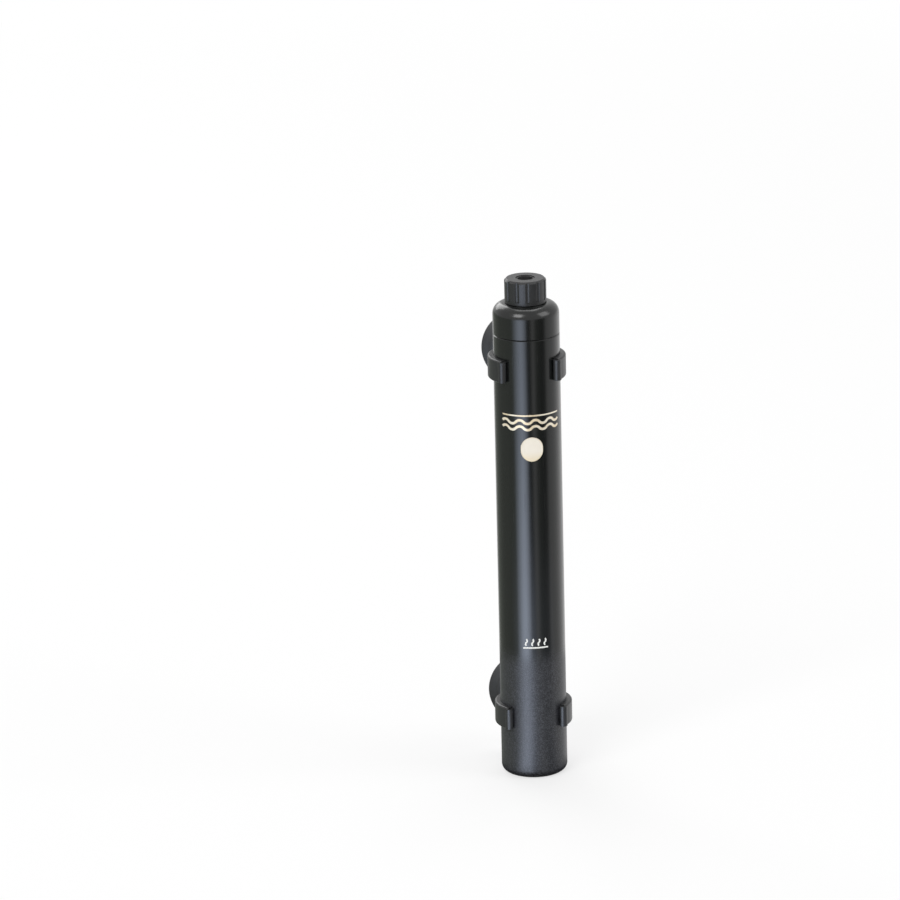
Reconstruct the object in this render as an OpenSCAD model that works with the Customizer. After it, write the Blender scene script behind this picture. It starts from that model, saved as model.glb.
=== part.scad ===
// Submersible aquarium heater: a glass heater tube in a shatter-resistant
// barrel, held to the tank wall by two sliding clips with suction cups.
// Millimetres. Z runs up the barrel, z = 0 is the flat base, the indicator
// looks along -Y and the suction cups face +Y.

/* [Glass heater tube] */
// Outside diameter of the glass tube
glass_d = 19.05; // [18:0.05:25]
// Wall of the glass tube
glass_wall = 1.1; // [0.9:0.05:1.4]

/* [Barrel] */
// Overall length, from the base to the top of the gland nut
overall_len = 203.2; // [192:0.1:320]
// Radial room between the glass tube and the barrel wall
sleeve_gap = 1.775; // [1.7:0.025:3]
// Wall of the sleeve and of the guard
barrel_wall = 1.8; // [1.4:0.1:2.6]
// Height of the textured guard at the lower end
guard_len = 52; // [44:1:60]
// Thickness of the guard's floor
floor_t = 3; // [2:0.25:4]
// Rounding of the barrel's bottom edge
base_edge_r = 3; // [1:0.25:4]
// Depth that the guard and the cap enter the sleeve
spigot_len = 9; // [7:0.5:11]
// Section diameter of the barrel's O-rings
o_ring_d = 1; // [0.8:0.05:1.2]

/* [Indicator] */
// Height of the indicator's centre
lens_z = 137; // [130:1:142]
// Width of the indicator
lens_w = 8.7; // [7:0.1:9.4]
// Height of the indicator
lens_h = 9.8; // [9.5:0.1:13]
// How far the indicator stands proud of the sleeve
lens_proud = 0.2; // [0.1:0.05:0.5]
// Diameter of the lamp behind the indicator
led_d = 3; // [2:0.5:5]

/* [Cap and cord gland] */
// Height of the cap's straight skirt
skirt_h = 8; // [6:0.5:9]
// Rounding of the cap's shoulder
shoulder_r = 4.5; // [3:0.25:5]
// Diameter of the cord that the gland takes
cord_d = 6; // [4.5:0.1:6.5]
// Height of the gland nut
nut_h = 9.5; // [8:0.1:12]
// Outside diameter of the gland nut
nut_d = 16.4; // [15.6:0.1:17]
// Flutes round the gland nut
nut_flutes = 12; // [8:1:16]

/* [Clips] */
// Height of the lower clip's centre
lower_clip_z = 25; // [20:1:32]
// Distance of the upper clip's centre below the cap
upper_clip_drop = 13; // [12:1:20]
// Height of a clip's band
clip_h = 9; // [7:0.5:12]
// Wall of a clip's band
clip_wall = 2.2; // [1.6:0.1:3]
// Angle of the mouth that a clip snaps on by
clip_mouth = 96; // [80:1:120]
// Radius of the beads at the clip's mouth
clip_bead_r = 1.6; // [1.2:0.1:2.2]
// Diameter of the socket boss
boss_d = 12.6; // [12:0.1:15]

/* [Suction cups] */
// Diameter of a suction cup
cup_d = 30; // [24:1:34]
// Depth of the suction cup's hollow
cup_hollow = 3.2; // [2:0.1:3.8]
// Height of the suction cup from the socket to the tank wall
cup_h = 7.2; // [6.5:0.1:9]
// Thickness of the suction cup's rim
cup_rim_t = 0.9; // [0.6:0.1:1.4]
// Width of the flat ring that seals on the tank wall
cup_land = 1.6; // [1:0.1:2.4]
// Diameter of the cup's button inside the socket
button_d = 7.8; // [7:0.1:9]
// Thickness of the button
button_t = 2; // [1.5:0.1:2.5]
// Diameter of the neck between button and cup
neck_d = 5; // [4:0.1:5.6]

/* [Heating element] */
// Length of the ceramic core
core_len = 60; // [50:1:64]
// Diameter of the ceramic core between its flanges
core_d = 9.5; // [8:0.1:10.5]
// Thickness of the core's end flanges
flange_t = 3.2; // [2.8:0.1:4]
// Turns of the resistance coil
coil_turns = 13; // [8:1:15]
// Outside diameter of the fine spiral that the coil is wound from
coil_d = 1.6; // [1:0.1:2]
// Diameter of the insulated leads
lead_d = 1.4; // [1:0.1:1.6]

/* [Control board] */
// Thickness of the circuit board
board_t = 1.6; // [1:0.1:2]
// Distance from the barrel's axis to the board's front face
board_y = 2; // [1.5:0.1:2.5]
// Length of the film capacitor
capacitor_len = 12; // [9:0.5:12]
// Width of the film capacitor
capacitor_w = 10; // [7:0.5:11]
// Depth of the film capacitor
capacitor_t = 4.6; // [3:0.1:5]

/* [Hidden] */
$fn = 96;
eps = 0.01;

// Clearances
slip = 0.08;        // spigots and rings in their bores
free_gap = 0.3;     // pieces that lie near a wall without touching
clip_fit = 0.06;    // clip on the barrel, neck in its socket
seat_gap = 0.05;    // the indicator's sandwich, leads on the board
o_ring_gap = 0.02;  // O-rings in the sleeve
nut_seat = 0.2;     // gland nut above the cap's shoulder
pot_gap = 0.1;      // crimps in the resin, leads in their crimps

// Barrel
glass_r = glass_d / 2;
glass_ir = glass_r - glass_wall;
bore_r = glass_r + sleeve_gap;
barrel_r = bore_r + barrel_wall;
nut_z0 = overall_len - nut_h;
cap_top = nut_z0 - nut_seat;
sleeve_top = cap_top - shoulder_r - skirt_h;
spigot_r = bore_r - slip;
spigot_ir = glass_r + free_gap;
seam_edge = 0.3;
collar_h = 6;
o_ring_r = o_ring_d / 2;
groove_play = 0.2;
groove_w = o_ring_d + groove_play;
groove_r = bore_r - o_ring_d - seat_gap;
guard_ring_z = guard_len + spigot_len / 2;
cap_ring_z = sleeve_top - spigot_len / 2;

// Glass tube and what closes it
pad_t = 2;
pad_rise = 2;
glass_z0 = floor_t + pad_t;
dome_z = glass_z0 + glass_r;
glass_drop = 11;
glass_top = sleeve_top - glass_drop;
stopper_depth = 8;
stopper_flange_t = 3;
stopper_top = glass_top + stopper_flange_t;
slot_depth = 1.5;
slot_gap = 0.15;
ring_h = 4;
lower_ring_drop = 22;
upper_ring_drop = 27;
lower_ring_z = guard_len - lower_ring_drop;
upper_ring_z = lens_z - upper_ring_drop;
notches = 8;
notch_r = 0.9;

// Cap and gland
roof_t = 3;
neck_foot = 1;
neck_z0 = sleeve_top + skirt_h + neck_foot;
neck_wall = 1.6;
seal_wall = 1.6;
cord_r = cord_d / 2;
cord_clear = 0.8;
hole_r = cord_r + cord_clear;
lip_r = hole_r - slip;
lip_len = 1.5;
seal_r = cord_r + seal_wall;
neck_ir = seal_r + seat_gap;
neck_r = neck_ir + neck_wall;
nut_lip_t = 1.6;
seal_flange_t = 1.4;
neck_top = overall_len - nut_lip_t - seal_flange_t - seat_gap;
resin_top = neck_z0 - roof_t - free_gap;
nut_edge = 0.8;
flute_r = 1.2;
flute_depth = 0.45;
flute_foot = 1.2;

// Indicator, from the glass outwards
lens_flange = 1.1;
lens_flange_t = 0.75;
lens_back_r = glass_r + free_gap + seat_gap;
lens_face_r = barrel_r + lens_proud;
gasket_r0 = lens_back_r + lens_flange_t + seat_gap;
gasket_r1 = bore_r - seat_gap;

// Clips and suction cups
clip_ir = barrel_r + clip_fit;
clip_or = clip_ir + clip_wall;
clip_edge_r = 0.8;
bead_inset = 0.2;
bead_edge = 0.4;
boss_sink = 2;
boss_edge_r = 0.6;
socket_floor_t = 0.35;
socket_floor_y = clip_or + socket_floor_t;
pocket_r = button_d / 2 + free_gap;
pocket_t = button_t + 2 * free_gap;
socket_lip_t = 1.7;
socket_y = socket_floor_y + pocket_t + socket_lip_t;
lead_in = 0.8;
lead_in_depth = 0.5;
cup_y0 = socket_y + free_gap;
cup_y1 = cup_y0 + cup_h;
cup_hub_r = neck_d / 2 + 1.6;
cup_r = cup_d / 2;
cup_sweep = 0.8;
cup_belly = 0.12;
cup_steps = 10;
button_edge = 0.6;
upper_clip_z = sleeve_top - upper_clip_drop;

// Heating element
fibre_gap = 0.2;
core_z0 = dome_z + free_gap;
core_z1 = core_z0 + core_len;
flange_r = glass_ir - free_gap;
coil_hole_play = 0.25;
coil_clear = 0.15;
coil_r = core_d / 2 + coil_clear + coil_d / 2;
coil_z0 = core_z0 + flange_t + coil_d / 2 + free_gap;
coil_z1 = core_z1 - flange_t - coil_d / 2 - free_gap;
coil_pitch = (coil_z1 - coil_z0) / coil_turns;
coil_sides = 6;
coil_steps = 16;
lead_r = lead_d / 2;
lead_play = 0.2;
lead_hole_r = lead_r + lead_play;
elbow_grow = 0.04;
shield_t = 2;
shield_top = core_z1 + shield_t;
plug_t = 6;
board_z0 = shield_top + plug_t;
lead_bend = 1.5;
lead_land = 3;
lead_tail = 5.5;

// Board
board_back = board_y + board_t;
board_half = sqrt(pow(glass_ir, 2) - pow(board_back, 2)) - free_gap;
board_top = glass_top - stopper_depth + slot_depth - free_gap;
supply_x = 3.6;
supply_y = -3.4;
supply_foot = 6;
supply_rise = 4;
pin_r = 0.5;
triac_z = board_z0 + 10;
triac_w = 8;
triac_len = 9;
triac_t = 3.4;
triac_tab_len = 4;
triac_tab_t = 1;
triac_leg_len = 3;
triac_leg_depth = 1.4;
triac_pitch = 2.2;
capacitor_z = triac_z + triac_len + triac_tab_len + 1;
chip_z = capacitor_z + capacitor_len + 2;
chip_len = 6;
chip_w = 5;
chip_t = 2;
chip_pitch = 1.4;
chip_leg_z = 0.6;
chip_leg_out = 0.8;
leg_t = 0.6;
thermistor_x = -3.6;
thermistor_z = board_z0 + lead_tail - 0.5;
thermistor_r = 1.3;
thermistor_drop = 2.6;
thermistor_leg = 0.4;
cutout_rise = 14;
cutout_z = board_z0 + cutout_rise;
cutout_r = 1.5;
cutout_len = 7;
resistor_r = 1.1;
resistor_len = 6;
resistor_rise = 8;
resistor_pitch = 6;
resistor_z = cutout_z + cutout_len + resistor_rise;
axial_leg = 0.7;
led_r = led_d / 2;
led_depth = 1;
led_tip = glass_ir - led_depth;
led_len = 5.3;
led_rim = 0.4;
led_rim_t = 1;
crimp_r = 1.2;
crimp_len = 6;
crimp_depth = 3;

// ---------------------------------------------------------------- helpers

// A turned ring from radius r0 to r1 and from height z0 to z1
module ring(r0, r1, z0, z1) {
    rotate_extrude() ring_outline(r0, r1, z0, z1);
}

module ring_outline(r0, r1, z0, z1) {
    translate([r0, z0]) square([r1 - r0, z1 - z0]);
}

// A round bar along +Y from y0 to y1
module bar_y(r, y0, y1) {
    translate([0, y0, 0]) rotate([-90, 0, 0]) cylinder(r = r, h = y1 - y0);
}

// The indicator's upright oval, as a prism along -Y, grown by margin
module oval_prism(margin) {
    r = lens_w / 2 + margin;
    rise = (lens_h - lens_w) / 2;
    reach = 2 * barrel_r;
    translate([0, 0, lens_z]) {
        for (s = [-1, 1]) translate([0, -reach, s * rise])
            rotate([-90, 0, 0]) cylinder(r = r, h = reach);
        translate([-r, -reach, -rise]) cube([2 * r, reach, 2 * rise]);
    }
}

// An O-ring that lies in a spigot's groove
module spigot_o_ring(z) {
    rotate_extrude() translate([bore_r - o_ring_r - o_ring_gap, z])
        circle(r = o_ring_r, $fn = 32);
}

// A box centred on x, from y0 to y1 and z0 to z1
module block(w, y0, y1, z0, z1) {
    translate([-w / 2, y0, z0]) cube([w, y1 - y0, z1 - z0]);
}

// ----------------------------------------------------------------- barrel

module lower_guard() {
    collar_z = guard_len - collar_h;
    cone = bore_r - spigot_ir;
    color("#26272a") difference() {
        rotate_extrude() difference() {
            union() {
                translate([0, base_edge_r]) square([barrel_r, guard_len - base_edge_r]);
                square([barrel_r - base_edge_r, guard_len]);
                translate([barrel_r - base_edge_r, base_edge_r]) circle(r = base_edge_r);
                ring_outline(0, spigot_r, guard_len - eps, guard_len + spigot_len);
            }
            ring_outline(0, bore_r, floor_t, collar_z - cone);
            ring_outline(0, spigot_ir, floor_t, guard_len + spigot_len + 1);
            polygon([[0, collar_z - cone - eps], [bore_r, collar_z - cone - eps],
                     [spigot_ir, collar_z], [0, collar_z]]);
            ring_outline(groove_r, barrel_r, guard_ring_z - groove_w / 2,
                         guard_ring_z + groove_w / 2);
        }
    }
}

// The sleeve and the cap are chamfered where they meet, which leaves a fine
// groove round the barrel
module outer_sleeve() {
    color("#1b1c1e") difference() {
        rotate_extrude()
            polygon([[bore_r, guard_len], [barrel_r, guard_len],
                     [barrel_r, sleeve_top - seam_edge],
                     [barrel_r - seam_edge, sleeve_top], [bore_r, sleeve_top]]);
        oval_prism(seat_gap);
    }
}

module top_cap() {
    color("#1b1c1e") rotate_extrude() difference() {
        union() {
            ring_outline(0, spigot_r, sleeve_top - spigot_len, sleeve_top + eps);
            polygon([[0, sleeve_top], [barrel_r - seam_edge, sleeve_top],
                     [barrel_r, sleeve_top + seam_edge], [barrel_r, sleeve_top + skirt_h],
                     [0, sleeve_top + skirt_h]]);
            ring_outline(0, barrel_r - shoulder_r, sleeve_top, cap_top);
            translate([barrel_r - shoulder_r, sleeve_top + skirt_h]) intersection() {
                circle(r = shoulder_r);
                square(shoulder_r);
            }
            ring_outline(0, neck_r, cap_top - eps, neck_top);
        }
        ring_outline(-1, spigot_ir, sleeve_top - spigot_len - 1, neck_z0 - roof_t);
        ring_outline(-1, hole_r, 0, overall_len);
        ring_outline(-1, neck_ir, neck_z0, overall_len);
        ring_outline(groove_r, barrel_r, cap_ring_z - groove_w / 2,
                     cap_ring_z + groove_w / 2);
    }
}

module gland_nut() {
    nut_r = nut_d / 2;
    color("#232427") difference() {
        rotate_extrude() difference() {
            polygon([[0, nut_z0], [nut_r, nut_z0], [nut_r, overall_len - nut_edge],
                     [nut_r - nut_edge, overall_len], [0, overall_len]]);
            ring_outline(-1, neck_r + slip, nut_z0 - 1, overall_len - nut_lip_t);
            ring_outline(-1, hole_r, 0, overall_len + 1);
        }
        for (i = [0 : nut_flutes - 1]) rotate([0, 0, i * 360 / nut_flutes])
            translate([nut_r + flute_r - flute_depth, 0, nut_z0 + flute_foot])
                cylinder(r = flute_r, h = nut_h, $fn = 32);
    }
}

// A grommet with a flange under the nut; its lips line the cord's holes in
// the cap's roof and in the nut
module gland_seal() {
    flange_z = neck_top + seal_flange_t;
    color("#17181a") rotate_extrude() {
        ring_outline(cord_r, lip_r, neck_z0 - lip_len, neck_z0 + eps);
        ring_outline(cord_r, seal_r, neck_z0, neck_top + eps);
        ring_outline(cord_r, neck_r - free_gap, neck_top, flange_z);
        ring_outline(cord_r, lip_r, flange_z - eps, overall_len - free_gap);
    }
}

module guard_o_ring() {
    color("#101112") spigot_o_ring(guard_ring_z);
}

module cap_o_ring() {
    color("#101112") spigot_o_ring(cap_ring_z);
}

// -------------------------------------------------------------- indicator

module indicator_lens() {
    color("#ece6d8") {
        intersection() {
            oval_prism(0);
            ring(lens_back_r, lens_face_r, lens_z - lens_h, lens_z + lens_h);
        }
        intersection() {
            oval_prism(lens_flange);
            ring(lens_back_r, lens_back_r + lens_flange_t,
                 lens_z - lens_h, lens_z + lens_h);
        }
    }
}

module lens_gasket() {
    color("#101112") difference() {
        intersection() {
            oval_prism(lens_flange);
            ring(gasket_r0, gasket_r1, lens_z - lens_h, lens_z + lens_h);
        }
        oval_prism(seat_gap);
    }
}

// ------------------------------------------------------------- glass tube

module glass_tube() {
    color("#cfe0e0", 0.5) rotate_extrude() difference() {
        intersection() {
            union() {
                translate([0, dome_z]) circle(r = glass_r);
                ring_outline(0, glass_r, dome_z, glass_top);
            }
            square([glass_r, glass_top]);
        }
        translate([0, dome_z]) circle(r = glass_ir);
        ring_outline(-1, glass_ir, dome_z, glass_top + 1);
    }
}

module bottom_pad() {
    color("#d8d4cc") difference() {
        ring(0, bore_r - slip, floor_t, glass_z0 + pad_rise);
        translate([0, 0, dome_z]) sphere(r = glass_r + slip);
    }
}

// A ring with relief notches that centres the glass in the barrel
module centring_ring(z) {
    color("#d8d4cc") difference() {
        ring(glass_r + slip, bore_r - slip, z, z + ring_h);
        for (i = [0 : notches - 1]) rotate([0, 0, i * 360 / notches])
            translate([bore_r, 0, z - 1]) cylinder(r = notch_r, h = ring_h + 2, $fn = 32);
    }
}

module lower_centring_ring() {
    centring_ring(lower_ring_z);
}

module upper_centring_ring() {
    centring_ring(upper_ring_z);
}

module glass_stopper() {
    color("#5c5f63") difference() {
        union() {
            ring(0, glass_ir - slip, glass_top - stopper_depth, glass_top + eps);
            ring(0, glass_r, glass_top, stopper_top);
        }
        block(2 * board_half + 2 * free_gap, board_y - slot_gap, board_back + slot_gap,
              glass_top - stopper_depth - 1, glass_top - stopper_depth + slot_depth);
        supply_holes(lead_hole_r);
    }
}

module potting_resin() {
    color("#3a3c3e") difference() {
        ring(0, spigot_ir - slip, stopper_top, resin_top);
        supply_holes(crimp_r + pot_gap);
    }
}

// -------------------------------------------------------- heating element

module fibre_cushion() {
    color("#e9e4d6") intersection() {
        translate([0, 0, dome_z]) sphere(r = glass_ir - fibre_gap);
        translate([0, 0, core_z0 - free_gap / 2 - glass_r]) cylinder(r = glass_r, h = glass_r);
    }
}

module ceramic_core() {
    color("#efe9dc") difference() {
        union() {
            ring(0, core_d / 2, core_z0, core_z1);
            ring(0, flange_r, core_z0, core_z0 + flange_t);
            ring(0, flange_r, core_z1 - flange_t, core_z1);
        }
        translate([0, 0, core_z0 - 1]) cylinder(r = lead_hole_r, h = core_len + 2, $fn = 32);
        for (z = [core_z0 - 1, core_z1 - flange_t - 1]) translate([coil_r, 0, z])
            cylinder(r = coil_d / 2 + coil_hole_play, h = flange_t + 2, $fn = 32);
        translate([0, -lead_hole_r, core_z0 - eps])
            cube([coil_r, 2 * lead_hole_r, lead_d + 2 * coil_clear]);
    }
}

// Centre line of the coil: whole turns between its two end points
function coil_point(t) = [
    coil_r * cos(360 * t), coil_r * sin(360 * t), coil_z0 + coil_pitch * t
];

// Ring of points round the wire at turn t; the wire rises with the pitch
function coil_ring(t) =
    let (p = coil_point(t), out = [cos(360 * t), sin(360 * t), 0],
         rise = atan2(coil_pitch, 2 * PI * coil_r),
         up = [sin(360 * t) * sin(rise), -cos(360 * t) * sin(rise), cos(rise)])
    [for (k = [0 : coil_sides - 1]) let (a = 360 * k / coil_sides)
        p + coil_d / 2 * (cos(a) * out + sin(a) * up)];

coil_rings = coil_turns * coil_steps;

// Least distance between points of the coil that lie about a turn apart
function coil_gap() = min([
    for (i = [0 : coil_rings - coil_steps - 2], j = [coil_steps - 2 : coil_steps + 2],
         a = coil_ring(i / coil_steps), b = coil_ring((i + j) / coil_steps)) norm(a - b)
]);

module heating_coil() {
    points = [for (i = [0 : coil_rings]) each coil_ring(i / coil_steps)];
    sides = [for (i = [0 : coil_rings - 1], k = [0 : coil_sides - 1])
        let (a = i * coil_sides + k, b = i * coil_sides + (k + 1) % coil_sides,
             c = b + coil_sides, d = a + coil_sides)
        each [[a, d, c], [a, c, b]]];
    first = [[for (k = [0 : coil_sides - 1]) k]];
    last = [[for (k = [coil_sides - 1 : -1 : 0]) coil_rings * coil_sides + k]];
    color("#8d8577") polyhedron(points = points, faces = concat(sides, first, last),
                                convexity = 8);
}

// A lead that follows points, with an elbow a shade fatter than the lead
module lead(points) {
    for (i = [0 : len(points) - 2]) {
        step = points[i + 1] - points[i];
        run = norm(step);
        translate(points[i])
            rotate([0, acos(step[2] / run), atan2(step[1], step[0])])
                cylinder(r = lead_r, h = run, $fn = 24);
    }
    if (len(points) > 2) for (i = [1 : len(points) - 2])
        translate(points[i]) sphere(r = lead_r + elbow_grow, $fn = 24);
}

// One lead rises from the coil's upper end; the other starts at its lower
// end and comes back through the core
module coil_leads() {
    run_z = core_z0 + lead_r + coil_clear;
    pad_y = board_y - lead_r - seat_gap;
    bend_z = board_z0 + lead_bend;
    land_z = board_z0 + lead_land;
    end_z = board_z0 + lead_tail;
    color("#b8b2a4") {
        lead([[coil_r, 0, coil_z1 + coil_d / 2 + seat_gap], [coil_r, 0, bend_z],
              [coil_r, pad_y, land_z], [coil_r, pad_y, end_z]]);
        lead([[coil_r, 0, coil_z0 - coil_d / 2 - seat_gap], [coil_r, 0, run_z],
              [0, 0, run_z], [0, 0, bend_z], [0, pad_y, land_z], [0, pad_y, end_z]]);
    }
}

module lead_holes(z0, z1) {
    for (x = [0, coil_r]) translate([x, 0, z0])
        cylinder(r = lead_hole_r, h = z1 - z0, $fn = 32);
}

module heat_shield() {
    color("#c9c4b4") difference() {
        ring(0, flange_r, core_z1, shield_top);
        lead_holes(core_z1 - 1, shield_top + 1);
    }
}

module fibre_plug() {
    color("#e9e4d6") difference() {
        ring(0, flange_r, shield_top, board_z0);
        lead_holes(shield_top - 1, board_z0 + 1);
    }
}

// ---------------------------------------------------------- control board

module circuit_board() {
    color("#2f6b45") difference() {
        block(2 * board_half, board_y, board_back, board_z0, board_top);
        for (x = [0, coil_r]) translate([x, 0, board_z0 + lead_tail - 1])
            bar_y(pin_r, board_y - 1, board_back + 1, $fn = 24);
    }
}

module indicator_led() {
    neck_y = -led_tip + led_r;
    foot_y = -led_tip + led_len;
    leg = leg_t / 2;
    color("#c8372d") translate([0, 0, lens_z]) {
        translate([0, neck_y, 0]) sphere(r = led_r, $fn = 32);
        bar_y(led_r, neck_y, foot_y, $fn = 32);
        bar_y(led_r + led_rim, foot_y - led_rim_t, foot_y, $fn = 32);
        for (s = [-1, 1]) translate([s * led_d / 4 - leg / 2, foot_y - eps, -leg / 2])
            cube([leg, board_y - foot_y + eps, leg]);
    }
}

module led_spacer() {
    foot_y = -led_tip + led_len;
    color("#e6e6e2") translate([0, 0, lens_z]) difference() {
        bar_y(led_r + led_rim - pot_gap, foot_y, board_y, $fn = 32);
        for (s = [-1, 1]) translate([s * led_d / 4, 0, 0])
            bar_y(leg_t / 2, foot_y - 1, board_y + 1, $fn = 24);
    }
}

module triac() {
    color("#25262a") {
        block(triac_w, board_y - triac_t, board_y, triac_z, triac_z + triac_len);
        block(triac_w, board_y - triac_tab_t, board_y, triac_z + triac_len - eps,
              triac_z + triac_len + triac_tab_len);
        for (s = [-1 : 1]) translate([s * triac_pitch, 0, 0])
            block(leg_t, board_y - triac_leg_depth, board_y, triac_z - triac_leg_len,
                  triac_z + eps);
    }
}

module film_capacitor() {
    color("#b5923b") block(capacitor_w, board_y - capacitor_t, board_y,
                           capacitor_z, capacitor_z + capacitor_len);
}

module control_chip() {
    color("#25262a") {
        block(chip_w, board_y - chip_t, board_y, chip_z, chip_z + chip_len);
        for (i = [0 : 3], s = [-1, 1])
            translate([s * (chip_w / 2 + chip_leg_out / 2 - eps), 0, chip_pitch * i])
                block(chip_leg_out, board_y - chip_t / 2, board_y, chip_z + chip_leg_z,
                      chip_z + chip_leg_z + leg_t);
    }
}

// An axial part that lies across the board's back on two bent legs
module axial_part(r, len, z) {
    y = board_back + r + seat_gap;
    half_leg = leg_t / 2;
    leg_x = len / 2 + 2 * axial_leg - half_leg;
    translate([0, y, z]) {
        translate([-len / 2, 0, 0]) rotate([0, 90, 0]) cylinder(r = r, h = len, $fn = 32);
        for (s = [-1, 1]) {
            translate([s * (len / 2 + axial_leg) - axial_leg - eps, -half_leg, -half_leg])
                cube([2 * (axial_leg + eps), leg_t, leg_t]);
            translate([s * leg_x - half_leg, board_back - y, -half_leg])
                cube([leg_t, y - board_back + half_leg, leg_t]);
        }
    }
}

module resistors() {
    color("#c2a46f") for (i = [0, 1])
        axial_part(resistor_r, resistor_len, resistor_z + resistor_pitch * i);
}

module thermal_cutout() {
    color("#9aa0a6") axial_part(cutout_r, cutout_len, cutout_z);
}

module thermistor() {
    bead_y = board_y - thermistor_drop;
    half_leg = thermistor_leg / 2;
    color("#20242c") translate([thermistor_x, 0, thermistor_z]) {
        translate([0, bead_y, 0]) sphere(r = thermistor_r, $fn = 32);
        for (s = [-1, 1]) translate([s * thermistor_r / 2 - half_leg, bead_y, -half_leg])
            cube([thermistor_leg, board_y - bead_y, thermistor_leg]);
    }
}

// ------------------------------------------------------------ supply side

module supply_holes(r) {
    for (s = [-1, 1]) translate([s * supply_x, supply_y, 0])
        cylinder(r = r, h = overall_len, $fn = 32);
}

// Leads from the board's top pads up through the stopper
module supply_leads() {
    foot_z = glass_top - stopper_depth - supply_foot;
    color("#b8b2a4") for (s = [-1, 1])
        lead([[s * supply_x, board_y - lead_r - seat_gap, foot_z],
              [s * supply_x, supply_y, foot_z + supply_rise],
              [s * supply_x, supply_y, stopper_top + crimp_depth]]);
}

// Crimps where the leads meet the cord's conductors, potted in the cap
module crimp_splices() {
    color("#b08a3e") for (s = [-1, 1]) translate([s * supply_x, supply_y, stopper_top])
        difference() {
            cylinder(r = crimp_r, h = crimp_len, $fn = 32);
            translate([0, 0, -1])
                cylinder(r = lead_r + pot_gap, h = 1 + crimp_depth + pot_gap, $fn = 32);
        }
}

// --------------------------------------------------- clips and suction cups

// Outline of a clip's band: a rectangle with rounded outer corners
module band_outline() {
    half = clip_h / 2;
    straight = half - clip_edge_r;
    ring_outline(clip_ir, clip_or - clip_edge_r, -half, half);
    ring_outline(clip_ir, clip_or, -straight, straight);
    for (s = [-1, 1]) translate([clip_or - clip_edge_r, s * straight])
        circle(r = clip_edge_r, $fn = 32);
}

// The round boss on a clip's back, with a rounded outer edge
module socket_boss() {
    r = boss_d / 2;
    straight = socket_y - boss_edge_r;
    rotate([-90, 0, 0]) rotate_extrude() {
        ring_outline(0, r, barrel_r - boss_sink, straight);
        ring_outline(0, r - boss_edge_r, barrel_r - boss_sink, socket_y);
        translate([r - boss_edge_r, straight]) circle(r = boss_edge_r, $fn = 32);
    }
}

// A snap clip: an open band, a bead at each side of its mouth and a round
// socket on its back
module clip_shape() {
    half_mouth = clip_mouth / 2;
    reach = 3 * clip_or;
    bead_pos = clip_ir + clip_bead_r - bead_inset;
    difference() {
        union() {
            difference() {
                rotate_extrude() band_outline();
                linear_extrude(height = 2 * clip_h, center = true)
                    polygon([[0, 0], [-reach * sin(half_mouth), -reach * cos(half_mouth)],
                             [0, -2 * reach], [reach * sin(half_mouth), -reach * cos(half_mouth)]]);
            }
            for (s = [-1, 1]) rotate([0, 0, s * half_mouth])
                translate([0, -bead_pos, -clip_h / 2 + bead_edge])
                    cylinder(r = clip_bead_r, h = clip_h - 2 * bead_edge, $fn = 48);
            socket_boss();
        }
        cylinder(r = clip_ir, h = 4 * clip_h, center = true);
        bar_y(pocket_r, socket_floor_y, socket_floor_y + pocket_t);
        bar_y(neck_d / 2 + clip_fit, socket_floor_y, socket_y + 1);
        translate([0, socket_y - lead_in_depth, 0]) rotate([-90, 0, 0])
            cylinder(r1 = neck_d / 2 + clip_fit, r2 = neck_d / 2 + lead_in,
                     h = lead_in_depth + eps);
    }
}

// Outer back of the cup: steep at the hub, flat towards the rim
function cup_back(r) =
    let (t = (r - cup_hub_r) / (cup_r - cup_hub_r))
    cup_y0 + (cup_h - cup_rim_t) * pow(t, cup_sweep) * (1 - cup_belly * sin(180 * t));

// Hollow front of the cup, a shallow bowl inside the sealing ring
function cup_front(r) =
    cup_y1 - cup_hollow * (1 - pow(r / (cup_r - cup_land), 2));

module suction_cup_shape() {
    bowl_r = cup_r - cup_land;
    button_r = button_d / 2;
    button_y = socket_floor_y + free_gap;
    back = [for (i = [0 : cup_steps]) let (r = cup_hub_r + (cup_r - cup_hub_r) * i / cup_steps)
        [r, cup_back(r)]];
    front = [for (i = [0 : cup_steps]) let (r = bowl_r * (1 - i / cup_steps)) [r, cup_front(r)]];
    rotate([-90, 0, 0]) rotate_extrude() {
        polygon(concat([[0, cup_y0]], back, [[cup_r, cup_y1]], front));
        ring_outline(0, neck_d / 2, button_y, cup_y0 + eps);
        polygon([[0, button_y], [button_r - button_edge, button_y],
                 [button_r, button_y + button_edge], [button_r, button_y + button_t],
                 [0, button_y + button_t]]);
    }
}

module lower_clip() {
    color("#1f2023") translate([0, 0, lower_clip_z]) clip_shape();
}

module upper_clip() {
    color("#1f2023") translate([0, 0, upper_clip_z]) clip_shape();
}

module lower_suction_cup() {
    color("#2b2c2f") translate([0, 0, lower_clip_z]) suction_cup_shape();
}

module upper_suction_cup() {
    color("#2b2c2f") translate([0, 0, upper_clip_z]) suction_cup_shape();
}

echo(coil_gap = coil_gap());  // heating_coil

lower_guard();
outer_sleeve();
top_cap();
gland_nut();
gland_seal();
guard_o_ring();
cap_o_ring();
indicator_lens();
lens_gasket();
glass_tube();
glass_stopper();
bottom_pad();
lower_centring_ring();
upper_centring_ring();
potting_resin();
fibre_cushion();
ceramic_core();
heating_coil();
coil_leads();
heat_shield();
fibre_plug();
circuit_board();
indicator_led();
led_spacer();
triac();
film_capacitor();
control_chip();
resistors();
thermistor();
thermal_cutout();
supply_leads();
crimp_splices();
lower_clip();
upper_clip();
lower_suction_cup();
upper_suction_cup();
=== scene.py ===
import math

import bmesh
import bpy
from bpy.props import FloatProperty, FloatVectorProperty, IntProperty, PointerProperty
from mathutils import Matrix, Vector


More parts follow.
